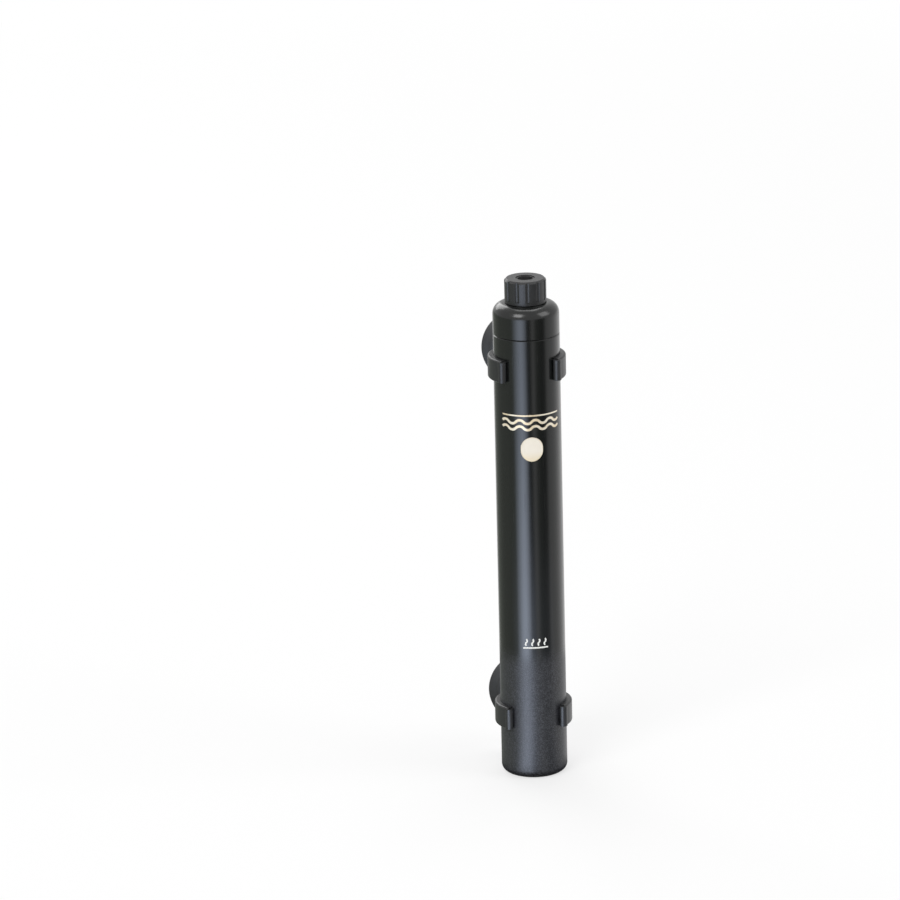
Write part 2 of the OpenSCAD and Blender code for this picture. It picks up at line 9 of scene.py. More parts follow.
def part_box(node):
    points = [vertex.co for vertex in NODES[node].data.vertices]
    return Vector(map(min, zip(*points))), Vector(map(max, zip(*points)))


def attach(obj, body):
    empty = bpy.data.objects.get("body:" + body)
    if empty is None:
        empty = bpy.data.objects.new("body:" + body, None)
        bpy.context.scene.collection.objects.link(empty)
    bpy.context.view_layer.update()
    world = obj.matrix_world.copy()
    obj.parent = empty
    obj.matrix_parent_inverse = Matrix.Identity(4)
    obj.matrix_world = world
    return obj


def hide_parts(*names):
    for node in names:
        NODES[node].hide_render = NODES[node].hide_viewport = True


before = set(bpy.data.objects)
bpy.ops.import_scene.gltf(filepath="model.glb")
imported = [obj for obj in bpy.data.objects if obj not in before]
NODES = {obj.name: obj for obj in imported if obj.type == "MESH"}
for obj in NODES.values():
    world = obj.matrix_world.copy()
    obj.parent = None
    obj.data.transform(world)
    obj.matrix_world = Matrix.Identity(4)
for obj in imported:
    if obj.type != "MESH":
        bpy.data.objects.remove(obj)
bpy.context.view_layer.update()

bl_info = {
    "name": "Submersible Heater Finishes",
    "version": (1, 0, 0),
    "blender": (4, 5, 0),
    "location": "3D View > Sidebar > Heater",
    "description": "Dresses a submersible aquarium heater and its stage",
    "category": "Object",
}

MM = 0.001

# Places that the finishes and the new pieces take from the frame
SLEEVE_LOW, SLEEVE_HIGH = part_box("outer_sleeve")
LENS_LOW, LENS_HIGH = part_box("indicator_lens")
BARREL_R = SLEEVE_HIGH.x
BARREL_TOP = SLEEVE_HIGH.z
GUARD_TOP = SLEEVE_LOW.z
LENS_Z = (LENS_LOW.z + LENS_HIGH.z) / 2
LENS_FLANGE = 1.1 * MM

# The sleeve's gloss dulls into the guard's texture over this height
FADE_MIDDLE = GUARD_TOP - 1.5 * MM
FADE_HALF = 4.5 * MM

# How finely the new pieces are modelled
RIBBON_CUTS = 24             # along a straight ribbon
ARC_STEPS = 10               # along each arc of a wavy ribbon
TURN_STEPS = 96              # round a turned piece
SMOOTH = math.radians(40)    # an edge sharper than this stays sharp
WELD = 0.001 * MM            # vertices nearer than this are merged
INK = 0.03 * MM              # thickness of the printed marks

WHITE = (1.0, 1.0, 1.0)
TINNED = (0.74, 0.75, 0.76)  # bare metal of small legs
EDGE = 0.03 * MM             # half the width of the step where they begin


# ------------------------------------------------------------ shader maths

class Socket:
    """An output of a finish's nodes. Arithmetic on it adds Math nodes."""

    def __init__(self, finish, socket):
        self.finish = finish
        self.socket = socket

    def maths(self, operation, *values):
        """A Math node on this output and others."""
        return self.finish.node("ShaderNodeMath", {"operation": operation},
                                dict(enumerate(values)))

    def __add__(self, other):
        return self.maths("ADD", self, other)

    def __sub__(self, other):
        return self.maths("SUBTRACT", self, other)

    def __rsub__(self, other):
        return self.maths("SUBTRACT", other, self)

    def __mul__(self, other):
        return self.maths("MULTIPLY", self, other)

    def __truediv__(self, other):
        return self.maths("DIVIDE", self, other)

    def __pow__(self, other):
        return self.maths("POWER", self, other)

    def __abs__(self):
        return self.maths("ABSOLUTE", self)

    __radd__ = __add__
    __rmul__ = __mul__

    def wave(self, length):
        """A sine that repeats every length."""
        return self.maths("SINE", self * (2 * math.pi / length))

    def above(self, edge, soft):
        """0 below the edge and 1 above it, over a soft step."""
        return self.finish.ramp(self, edge - soft, edge + soft)

    def below(self, edge, soft):
        """1 below the edge and 0 above it, over a soft step."""
        return 1.0 - self.above(edge, soft)


class Finish:
    """A node tree written as expressions."""

    def __init__(self, tree):
        self.tree = tree

    def node(self, kind, settings=None, inputs=None, out=0):
        """One output of a new node, with its settings made and inputs fed."""
        made = self.tree.nodes.new(kind)
        for name, value in (settings or {}).items():
            if name == "stops":
                self.set_stops(made.color_ramp, value)
            else:
                setattr(made, name, value)
        for key, value in (inputs or {}).items():
            self.feed(made.inputs[key], value)
        return Socket(self, made.outputs[out])

    def feed(self, target, value):
        """Links an output to an input, or sets the input's own value."""
        if isinstance(value, Socket):
            self.tree.links.new(value.socket, target)
        elif target.type == "RGBA":
            target.default_value = (*value, 1.0)
        else:
            target.default_value = value

    @staticmethod
    def set_stops(ramp, stops):
        """Gives a colour ramp its stops, as (place, colour) in order."""
        ramp.elements[0].position = stops[0][0]
        ramp.elements[-1].position = stops[-1][0]
        for place, _ in stops[1:-1]:
            ramp.elements.new(place)
        for element, (_, colour) in zip(ramp.elements, stops):
            element.color = (*colour, 1.0)

    def ramp(self, value, low, high):
        """A smooth step from 0 to 1 as value goes from low to high."""
        return self.node("ShaderNodeMapRange", {"interpolation_type": "SMOOTHSTEP"},
                         {0: value, 1: low, 2: high})

    def blend(self, factor, first, second):
        """A colour between first and second."""
        return self.node("ShaderNodeMix", {"data_type": "RGBA"},
                         {0: factor, 6: first, 7: second}, out=2)

    def place(self):
        """The place on the object, which is the place in the frame."""
        return self.node("ShaderNodeTexCoord", out=3)

    def axes(self):
        """The place on the object as three numbers, in metres."""
        split = self.node("ShaderNodeSeparateXYZ", inputs={0: self.place()})
        return [Socket(self, out) for out in split.socket.node.outputs]

    def grain(self, size, detail=2.0, stretch=(1.0, 1.0, 1.0)):
        """Noise from 0 to 1 whose features are about size metres wide."""
        spot = self.node("ShaderNodeMapping", None, {"Vector": self.place(), "Scale": stretch})
        return self.node("ShaderNodeTexNoise", None,
                         {"Vector": spot, "Scale": 1.0 / size, "Detail": detail})

    def pits(self, size):
        """Distance to the nearest of scattered points about size metres apart."""
        return self.node("ShaderNodeTexVoronoi", None,
                         {"Vector": self.place(), "Scale": 1.0 / size})

    def bump(self, height, depth):
        """Relief of a height from 0 to 1, this deep, at half strength."""
        return self.node("ShaderNodeBump", None,
                         {"Strength": 0.5, "Distance": depth, "Height": height})


class Material(Finish):
    """A principled material whose sockets are set by name."""

    def __init__(self, name):
        self.material = bpy.data.materials.new(name)
        self.material.use_nodes = True
        super().__init__(self.material.node_tree)
        self.shader = self.tree.nodes["Principled BSDF"]

    def set(self, **surface):
        """base_color sets Base Color, ior sets IOR, and so on."""
        for name, value in surface.items():
            title = name.replace("_", " ").title().replace("Ior", "IOR")
            self.feed(self.shader.inputs[title], value)
        return self


def dress(material, *pieces):
    """Puts a material on CAD nodes, named, or on new pieces."""
    for piece in pieces:
        mesh = (NODES[piece] if isinstance(piece, str) else piece).data
        mesh.materials.clear()
        mesh.materials.append(material.material)


# --------------------------------------------------------------- modelling

def deselect():
    """Leaves edit mode, with nothing selected."""
    if bpy.context.object and bpy.context.object.mode != "OBJECT":
        bpy.ops.object.mode_set(mode="OBJECT")
    bpy.ops.object.select_all(action="DESELECT")


def edit(piece):
    """Enters edit mode on one piece, with all of it selected."""
    deselect()
    piece.select_set(True)
    bpy.context.view_layer.objects.active = piece
    bpy.ops.object.mode_set(mode="EDIT")
    bpy.ops.mesh.select_mode(type="VERT")
    bpy.ops.mesh.select_all(action="SELECT")


def pick(piece, wanted, kind="verts"):
    """In edit mode, selects only the vertices or faces that pass a test."""
    mesh = bmesh.from_edit_mesh(piece.data)
    bpy.ops.mesh.select_all(action="DESELECT")
    for part in getattr(mesh, kind):
        part.select = wanted(part)
    mesh.select_flush_mode()
    bmesh.update_edit_mesh(piece.data)


def finish_edit(piece):
    """Leaves edit mode and puts the piece's place into its mesh."""
    bpy.ops.object.mode_set(mode="OBJECT")
    bpy.ops.object.transform_apply(location=True, rotation=True, scale=True)
    return piece


def apply_modifier(piece, kind, **settings):
    """Adds a modifier with its settings and applies it."""
    bpy.context.view_layer.objects.active = piece
    modifier = piece.modifiers.new(kind.title(), kind)
    for name, value in settings.items():
        setattr(modifier, name, value)
    bpy.ops.object.modifier_apply(modifier=modifier.name)


def add_strip(x, z, length, width):
    """A flat strip in the plane y = 0 that starts at x and runs along +X."""
    deselect()
    bpy.ops.mesh.primitive_plane_add(size=1, location=(x + length / 2, 0, z),
                                     rotation=(math.pi / 2, 0, 0))
    piece = bpy.context.object
    piece.scale = (length, width, 1)
    bpy.ops.object.transform_apply(location=True, rotation=True, scale=True)
    return piece


def straight_ribbon(x, z, length, width):
    """A strip that is cut often enough to be bent round the barrel."""
    piece = add_strip(x, z, length, width)
    edit(piece)
    bpy.ops.mesh.subdivide(number_cuts=RIBBON_CUTS)
    return finish_edit(piece)


def wavy_ribbon(x, z, width, chord, lean, halves):
    """A ribbon along +X of equal arcs that rise and fall, each spun on from
    the end of the last one. lean is the slope where they meet."""
    bend_r = chord / 2 / math.sin(lean)
    piece = add_strip(x - chord, z, chord, width)
    edit(piece)
    pick(piece, lambda vert: vert.co.x < x - chord / 2)
    bpy.ops.mesh.delete(type="VERT")
    bpy.ops.mesh.select_all(action="SELECT")
    bpy.ops.transform.rotate(value=lean, orient_axis="Y", orient_type="GLOBAL",
                             center_override=(x, 0, z))
    for half in range(halves):
        side = 1 if half % 2 == 0 else -1
        centre = (x + chord * (half + 0.5), 0, z - side * bend_r * math.cos(lean))
        bpy.ops.mesh.spin(steps=ARC_STEPS, angle=-side * 2 * lean, center=centre, axis=(0, 1, 0))
    bpy.ops.mesh.select_all(action="SELECT")
    bpy.ops.mesh.remove_doubles(threshold=WELD)
    return finish_edit(piece)


def repeat(piece, count, step):
    """The piece and its copies, each with its own mesh, a step apart."""
    row = [piece]
    for _ in range(count - 1):
        deselect()
        row[-1].select_set(True)
        bpy.context.view_layer.objects.active = row[-1]
        bpy.ops.object.duplicate_move(TRANSFORM_OT_translate={"value": step})
        bpy.ops.object.transform_apply(location=True, rotation=True, scale=True)
        row.append(bpy.context.object)
    return row


def join(pieces, name):
    """Makes several pieces one, under one name."""
    deselect()
    for piece in pieces:
        piece.select_set(True)
    bpy.context.view_layer.objects.active = pieces[0]
    bpy.ops.object.join()
    pieces[0].name = name
    return pieces[0]


def print_on_barrel(piece):
    """Bends a flat mark round the barrel's front and gives it its thickness."""
    apply_modifier(piece, "SIMPLE_DEFORM", deform_method="BEND", deform_axis="Z",
                   angle=piece.dimensions.x / BARREL_R)
    edit(piece)
    bpy.ops.transform.translate(value=(0, -BARREL_R, 0))
    bpy.ops.mesh.select_mode(type="FACE")
    pick(piece, lambda face: face.normal.xy.dot(face.calc_center_median().xy) < 0, "faces")
    bpy.ops.mesh.flip_normals()
    finish_edit(piece)
    apply_modifier(piece, "SOLIDIFY", thickness=INK, offset=1)
    edit(piece)
    bpy.ops.mesh.normals_make_consistent(inside=False)
    return finish_edit(piece)


def turn(outline, z):
    """Spins an outline of (radius, place along +Y) points round an axis
    along Y, at height z."""
    deselect()
    bpy.ops.mesh.primitive_plane_add(size=MM)
    piece = bpy.context.object
    edit(piece)
    bpy.ops.mesh.merge(type="CENTER")
    last = Vector(outline[0] + (0,))
    bpy.ops.transform.translate(value=last)
    for point in outline[1:]:
        place = Vector(point + (0,))
        bpy.ops.mesh.extrude_vertices_move(TRANSFORM_OT_translate={"value": place - last})
        last = place
    bpy.ops.mesh.select_all(action="SELECT")
    bpy.ops.mesh.spin(steps=TURN_STEPS, angle=2 * math.pi, center=(0, 0, 0), axis=(0, 1, 0))
    bpy.ops.mesh.select_all(action="SELECT")
    bpy.ops.mesh.remove_doubles(threshold=WELD)
    bpy.ops.mesh.normals_make_consistent(inside=False)
    bpy.ops.transform.translate(value=(0, 0, z))
    finish_edit(piece)
    bpy.ops.object.shade_smooth_by_angle(angle=SMOOTH)
    return piece


# -------------------------------------------------------------- properties

class HeaterCamera(bpy.types.PropertyGroup):
    """Where the camera stands, about the middle of the barrel's foot"""
    azimuth: FloatProperty(name="Azimuth", description="Turn round the barrel from its front",
                           default=math.radians(-5.4), subtype="ANGLE")
    elevation: FloatProperty(name="Elevation", description="Height above the horizon",
                             default=math.radians(16.862), subtype="ANGLE")
    roll: FloatProperty(name="Roll", description="Lean of the picture",
                        default=math.radians(-1.363), subtype="ANGLE")
    aside: FloatProperty(name="Aside", description="Camera's place to the picture's right",
                         default=-0.03085, unit="LENGTH")
    rise: FloatProperty(name="Rise", description="Camera's place up the picture",
                        default=0.12791, unit="LENGTH")
    distance: FloatProperty(name="Distance", description="Distance back from the barrel's foot",
                            default=2.38912, unit="LENGTH")
    lens: FloatProperty(name="Lens", description="Focal length on a 36 mm sensor",
                        default=239.12, unit="CAMERA")


class HeaterFinish(bpy.types.PropertyGroup):
    """Colours and surfaces of the outside"""
    sleeve_colour: FloatVectorProperty(name="Sleeve", description="Glossy barrel",
                                       default=(0.0055, 0.0064, 0.0058), subtype="COLOR")
    guard_colour: FloatVectorProperty(name="Guard", description="Textured guard",
                                      default=(0.0306, 0.0319, 0.0366), subtype="COLOR")
    lens_colour: FloatVectorProperty(name="Indicator", description="Cream indicator",
                                     default=(0.83, 0.775, 0.675), subtype="COLOR")
    print_colour: FloatVectorProperty(name="Print", description="Pale ink of the heat mark",
                                      default=(0.82, 0.84, 0.81), subtype="COLOR")
    foil_colour: FloatVectorProperty(name="Foil", description="Champagne foil, water mark",
                                     default=(0.72, 0.57, 0.35), subtype="COLOR")
    gloss: FloatProperty(name="Gloss", description="Roughness of the glossy barrel",
                         default=0.2, min=0.0, max=1.0, subtype="FACTOR")
    grain_size: FloatProperty(name="Grain", description="Grain of the textured guard",
                              default=0.4 * MM, unit="LENGTH")


class HeaterMarks(bpy.types.PropertyGroup):
    """The generic water mark and heat mark on the barrel"""
    water_z: FloatProperty(name="Water mark", description="Height of its middle",
                           default=148.2 * MM, unit="LENGTH")
    water_width: FloatProperty(name="Water mark width", description="Width round the barrel",
                               default=25 * MM, unit="LENGTH")
    ripples: IntProperty(name="Ripples", description="Wavy lines of the water mark",
                         default=2, min=1)
    heat_z: FloatProperty(name="Heat mark", description="Height of its middle",
                          default=56.8 * MM, unit="LENGTH")
    heat_height: FloatProperty(name="Heat mark size", description="Height of the heat mark",
                               default=3.9 * MM, unit="LENGTH")
    strokes: IntProperty(name="Strokes", description="Rising strokes of the heat mark",
                         default=4, min=1)


class HeaterCups(bpy.types.PropertyGroup):
    """Shape of the suction cups"""
    button_d: FloatProperty(name="Button", description="Diameter of the button in the socket",
                            default=7.8 * MM, unit="LENGTH")
    button_t: FloatProperty(name="Button thickness", description="Thickness of the button",
                            default=2 * MM, unit="LENGTH")
    neck_d: FloatProperty(name="Neck", description="Diameter of the neck in the socket",
                          default=5 * MM, unit="LENGTH")
    gap: FloatProperty(name="Gap", description="Room between the socket and the cup",
                       default=0.3 * MM, unit="LENGTH")
    hollow: FloatProperty(name="Hollow", description="Depth of the cup's bowl",
                          default=3.2 * MM, unit="LENGTH")
    rim_t: FloatProperty(name="Rim", description="Thickness of the cup's rim",
                         default=0.9 * MM, unit="LENGTH")
    land: FloatProperty(name="Land", description="Width of the flat sealing ring",
                        default=1.6 * MM, unit="LENGTH")
    step_h: FloatProperty(name="Steps", description="Height of the back's moulded steps",
                          default=0.15 * MM, unit="LENGTH")
    ridge_h: FloatProperty(name="Ridges", description="Height of the bowl's fine ridges",
                           default=0.18 * MM, unit="LENGTH")
    dimple_h: FloatProperty(name="Dimple", description="Depth of the bowl's dimple",
                            default=0.4 * MM, unit="LENGTH")


# --------------------------------------------------------------- operators

class HEATER_OT_stage(bpy.types.Operator):
    """Makes the camera, the floor, the lamps and the world"""
    bl_idname = "heater.stage"
    bl_label = "Stage and camera"

    def execute(self, context):
        self.add_camera(context)
        self.add_floor()
        self.add_lamps()
        self.paint_world(context.scene)
        context.scene.view_settings.view_transform = "Standard"
        return {"FINISHED"}

    def add_camera(self, context):
        place = context.scene.heater_camera
        turned, raised = place.azimuth, place.elevation
        back = Vector((math.sin(turned) * math.cos(raised),
                       -math.cos(turned) * math.cos(raised), math.sin(raised)))
        right = Vector((math.cos(turned), math.sin(turned), 0))
        up = back.cross(right)
        lean, drop = math.cos(place.roll), math.sin(place.roll)
        axes = (lean * right + drop * up, lean * up - drop * right, back)
        deselect()
        bpy.ops.object.camera_add(
            location=place.aside * right + place.rise * up + place.distance * back,
            rotation=Matrix(axes).transposed().to_euler())
        camera = context.object
        camera.data.sensor_width = 36
        camera.data.lens = place.lens
        context.scene.camera = camera

    def add_floor(self):
        deselect()
        bpy.ops.mesh.primitive_plane_add(size=12)
        floor = bpy.context.object
        floor.name = "floor"
        floor.data.materials.append(self.floor_material())

    def floor_material(self):
        """White to the eye with the heater's shadow. To gloss it is a studio
        floor with a cool window on the left of the front, dark on the right
        and pale at the sides and back. Nearer the heater the window's light
        spills over to the right and out to both flanks."""
        made = Material("studio_floor")
        made.set(base_color=(0.86, 0.86, 0.86), roughness=0.6, specular_ior_level=0.0)
        x, y, _ = made.axes()
        away = (x * x + y * y) ** 0.5
        around = made.node("ShaderNodeMath", {"operation": "ARCTAN2"}, {0: x, 1: 0.0 - y})
        # the reflected glow is painted dark right under the heater, a painted shadow beneath it
        foot = made.ramp(away, 15 * MM, 26 * MM)    # dark right under the heater
        far = made.ramp(away, 0.15, 0.7)
        near = foot * (1.0 - made.ramp(away, 0.2, 0.36))
        ring = near * made.ramp(away, 0.12, 0.19)
        plain, mossy, cool = WHITE, (0.92, 1.0, 0.88), (0.88, 1.0, 1.24)
        room = self.cards(made, around, 2.0, foot, [
            (-180, 0.9, plain), (-161, 0.9, plain), (-153, 0.42, mossy), (-112, 0.4, mossy),
            (-85, 0.5, mossy), (-54, 0.46, mossy), (-12, 0.4, plain), (-5, 0.05, plain),
            (4, 0.05, plain), (14, 0.95, plain), (27, 0.2, mossy), (49, 0.05, plain),
            (57, 0.15, plain), (65, 0.8, plain),
            (94, 0.95, plain), (114, 1.2, plain), (139, 1.3, plain), (159, 0.9, plain)])
        window = self.cards(made, around, 7.0, foot * (1.0 - 0.5 * far), [
            (-180, 0.0, cool), (-55, 0.0, cool), (-52, 1.3, cool), (-45, 2.3, cool),
            (-37, 4.4, cool), (-25, 5.6, cool), (-12, 2.9, cool), (-4, 0.0, cool)])
        spill = self.cards(made, around, 1.0, near, [
            (-180, 0.0, cool), (-25, 0.0, cool), (-10, 0.5, cool), (0, 0.9, cool),
            (13, 0.27, cool), (49, 0.15, cool), (66, 0.2, cool), (80, 0.0, cool)])
        flanks = self.cards(made, around, 1.0, ring, [
            (-180, 0.0, cool), (-78, 0.0, cool), (-63, 0.34, cool), (-54, 0.5, cool),
            (-45, 0.4, cool), (-36, 0.4, cool), (-25, 0.25, cool), (-12, 0.05, cool),
            (0, 0.5, cool), (11, 0.05, cool), (35, 0.02, cool), (49, 0.13, plain),
            (62, 0.13, plain), (75, 0.0, plain)])
        glow = room
        for more in (window, spill, flanks):
            glow = made.node("ShaderNodeAddShader", None, {0: glow, 1: more})
        white = made.node("ShaderNodeEmission", None, {"Color": WHITE})
        matt = Socket(made, made.shader.outputs[0])
        eye, gloss = light_path(made)
        share = eye * made.node("ShaderNodeMapRange", None,    # whiter further out
                                {0: away, 1: 0.3, 2: 1.4, 3: 0.66, 4: 1.0})
        seen = made.node("ShaderNodeMixShader", None, {0: share, 1: matt, 2: white})
        shown = made.node("ShaderNodeMixShader", None, {0: gloss, 1: seen, 2: glow})
        made.feed(made.tree.nodes["Material Output"].inputs["Surface"], shown)
        return made.material

    def cards(self, made, around, brightest, strength, stops):
        """A glow that changes with the direction from the heater. Each stop
        is (degrees, light, tint), and no light is over the brightest."""
        colour = made.node("ShaderNodeValToRGB", {"stops": [
            (0.5 + angle / 360, tuple(light * c / brightest for c in tint))
            for angle, light, tint in stops]}, {0: around / (2 * math.pi) + 0.5})
        return made.node("ShaderNodeEmission", None,
                         {"Color": colour, "Strength": brightest * strength})

    def add_lamps(self):
        lamps = {"key_lamp": ((-0.9, -1.2, 1.3), 15.0), "fill_lamp": ((1.2, -0.5, 1.0), 7.0),
                 "top_lamp": ((0.1, 0.5, 1.6), 7.5), "back_lamp": ((-0.5, 1.3, 0.9), 7.0)}
        size, heater_middle = 0.9, Vector((0, 0, 0.1))
        for name, (spot, power) in lamps.items():
            deselect()
            aim = heater_middle - Vector(spot)
            bpy.ops.object.light_add(type="AREA", location=spot,
                                     rotation=aim.to_track_quat("-Z", "Y").to_euler())
            lamp = bpy.context.object
            lamp.name = name
            lamp.data.size = size
            lamp.data.energy = power
            lamp.visible_camera = False

    def paint_world(self, scene):
        world = bpy.data.worlds.new("studio")
        scene.world = world
        world.use_nodes = True
        sky = Finish(world.node_tree)
        eye, gloss = light_path(sky)
        background = world.node_tree.nodes["Background"]
        light, seen, mirrored = 0.42, 1.0, 0.85
        sky.feed(background.inputs["Strength"],
                 light + (seen - light) * eye + (mirrored - light) * gloss)
        sky.feed(background.inputs["Color"], WHITE)


def light_path(finish):
    """Whether a ray comes from the camera, and whether from a gloss."""
    path = finish.node("ShaderNodeLightPath").socket.node.outputs
    return Socket(finish, path["Is Camera Ray"]), Socket(finish, path["Is Glossy Ray"])


class HEATER_OT_barrel(bpy.types.Operator):
    """Finishes the sleeve, the guard, the cap and the gland"""
    bl_idname = "heater.barrel"
    bl_label = "Barrel finishes"

    def execute(self, context):
        look = context.scene.heater_finish
        dress(self.gloss_black(look), "outer_sleeve", "top_cap")
        dress(self.textured_black(look), "lower_guard")
        dress(satin_black("satin_nut"), "gland_nut")
        dress(rubber_black("gland_rubber"), "gland_seal", "guard_o_ring", "cap_o_ring",
              "lens_gasket")
        return {"FINISHED"}

    def dulled(self, z):
        """0 on the polished sleeve, 1 on the textured guard."""
        return z.below(FADE_MIDDLE, FADE_HALF)

    def gloss_black(self, look):
        """Polished moulding with a faint orange peel, fine rubs and dark
        hairlines at its joints; it dulls towards the guard."""
        made = Material("gloss_black")
        _, _, z = made.axes()
        dull = self.dulled(z)
        smudge = made.grain(9 * MM, 3.0, (1.0, 1.0, 0.35))
        rubs = made.grain(0.5 * MM, 2.0, (1.0, 1.0, 0.04)).above(0.66, 0.05)
        peel = made.grain(2.4 * MM, 1.0)
        seam = abs(z - BARREL_TOP).below(0.16 * MM, 0.1 * MM)
        seam = seam + abs(z - GUARD_TOP).below(0.02 * MM, 0.03 * MM)
        tint = made.blend(smudge, look.sleeve_colour, (0.0078, 0.0084, 0.0082))
        tint = made.blend(dull, tint, look.guard_colour)
        return made.set(
            base_color=made.blend(seam, tint, (0.003, 0.003, 0.003)),
            roughness=look.gloss - 0.025 + smudge * 0.05 + rubs * 0.08 + dull * 0.19,
            normal=made.bump(peel, 0.012 * MM))

    def textured_black(self, look):
        """Spark-eroded plastic: a dense fine grain that sparkles a little and
        is rubbed shiny at its foot."""
        made = Material("textured_black")
        _, _, z = made.axes()
        dull = self.dulled(z)
        grit = made.grain(look.grain_size, 2.0)
        pits = made.pits(look.grain_size * 1.6)
        rubbed = z.below(1.2 * MM, 0.9 * MM)
        dark, pale = (tuple(c * share for c in look.guard_colour) for share in (0.38, 1.75))
        tint = made.blend(dull, look.sleeve_colour, made.blend(grit.above(0.54, 0.16), dark, pale))
        return made.set(
            base_color=made.blend(rubbed * 0.5, tint, (0.05, 0.05, 0.052)),
            roughness=look.gloss + dull * (0.15 + grit * 0.12) - rubbed * 0.08,
            normal=made.bump((grit + pits * 0.5) * dull, 0.06 * MM))


class HEATER_OT_indicator(bpy.types.Operator):
    """Finishes the cream indicator, warmer at its lower edge, with a painted shade ring round its
    rim
    """
    bl_idname = "heater.indicator"
    bl_label = "Indicator"

    def execute(self, context):
        look = context.scene.heater_finish
        made = Material("indicator_cream")
        x, _, z = made.axes()
        rise = z - LENS_Z
        cloud = made.grain(3.5 * MM)
        across = x / (LENS_HIGH.x - LENS_FLANGE)
        along = rise / (LENS_HIGH.z - LENS_Z - LENS_FLANGE)
        # the darker warm ring at the lens's edge is painted shade where it sits in its hole
        edge = ((across * across + along * along) ** 0.5).above(0.93, 0.06)
        warm_and_shaded = rise.below(-2.5 * MM, 2 * MM) * 0.6 + edge * 0.35
        pale = made.blend(cloud, look.lens_colour, (0.88, 0.83, 0.74))
        made.set(base_color=made.blend(warm_and_shaded, pale, (0.78, 0.67, 0.46)),
                 roughness=0.45 + cloud * 0.1, specular_ior_level=0.35,
                 normal=made.bump(cloud, 0.02 * MM))
        dress(made, "indicator_lens")
        return {"FINISHED"}


class HEATER_OT_water_mark(bpy.types.Operator):
    """Prints a champagne water line over rippling lines on the sleeve"""
    bl_idname = "heater.water_mark"
    bl_label = "Water mark"

    def execute(self, context):
        marks = context.scene.heater_marks
        left, pitch = -marks.water_width / 2, 2.5 * MM
        level_w, ripple_w, lean, halves = 0.6 * MM, 1.0 * MM, math.radians(50), 8
        level = straight_ribbon(left, marks.water_z + pitch, marks.water_width, level_w)
        ripple = wavy_ribbon(left, marks.water_z, ripple_w, marks.water_width / halves,
                             lean, halves)
        ripples = repeat(ripple, marks.ripples, (0, 0, -pitch))
        mark = print_on_barrel(join([level, *ripples], "water_mark"))
        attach(mark, "heater")
        foil = Material("champagne_foil")
        streak = foil.grain(1.4 * MM, 2.0, (1.0, 1.0, 0.5))
        # the broad pale patches painted into the foil's colour are a painted reflection; the fine
        # streaks are the foil's own grain
        painted_sheen = foil.grain(5 * MM, 0.0).above(0.5, 0.12)
        gold = context.scene.heater_finish.foil_colour
        foil.set(base_color=foil.blend((streak + painted_sheen) * 0.5, gold, (0.93, 0.88, 0.76)),
                 metallic=0.3, roughness=0.34 + streak * 0.14)
        dress(foil, mark)
        return {"FINISHED"}


class HEATER_OT_heat_mark(bpy.types.Operator):
    """Prints a pale heat mark, wavy strokes over a bar, near the guard"""
    bl_idname = "heater.heat_mark"
    bl_label = "Heat mark"

    def execute(self, context):
        marks = context.scene.heater_marks
        stroke, pitch, lean, halves = 0.6 * MM, 2.5 * MM, math.radians(52), 2
        foot = marks.heat_z - marks.heat_height / 2
        rise = marks.heat_height - 2 * stroke
        width = pitch * marks.strokes
        bar = straight_ribbon(-width / 2, foot + stroke / 2, width, stroke)
        wave = wavy_ribbon(0, 0, stroke, rise / halves, lean, halves)
        edit(wave)
        bpy.ops.transform.rotate(value=math.pi / 2, orient_axis="Y", orient_type="GLOBAL",
                                 center_override=(0, 0, 0))
        bpy.ops.transform.translate(value=((pitch - width) / 2, 0, foot + 2 * stroke))
        waves = repeat(finish_edit(wave), marks.strokes, (pitch, 0, 0))
        mark = print_on_barrel(join([bar, *waves], "heat_mark"))
        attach(mark, "heater")
        ink = Material("pale_ink")
        wear = ink.grain(0.5 * MM, 3.0)
        colour = context.scene.heater_finish.print_colour
        ink.set(base_color=ink.blend(wear, colour, (0.88, 0.89, 0.86)),
                roughness=0.5 + wear * 0.1)
        dress(ink, mark)
        return {"FINISHED"}


def soft_step(past, steep):
    """0 well before a place and 1 well past it."""
    return 1 / (1 + math.exp(-past * steep))


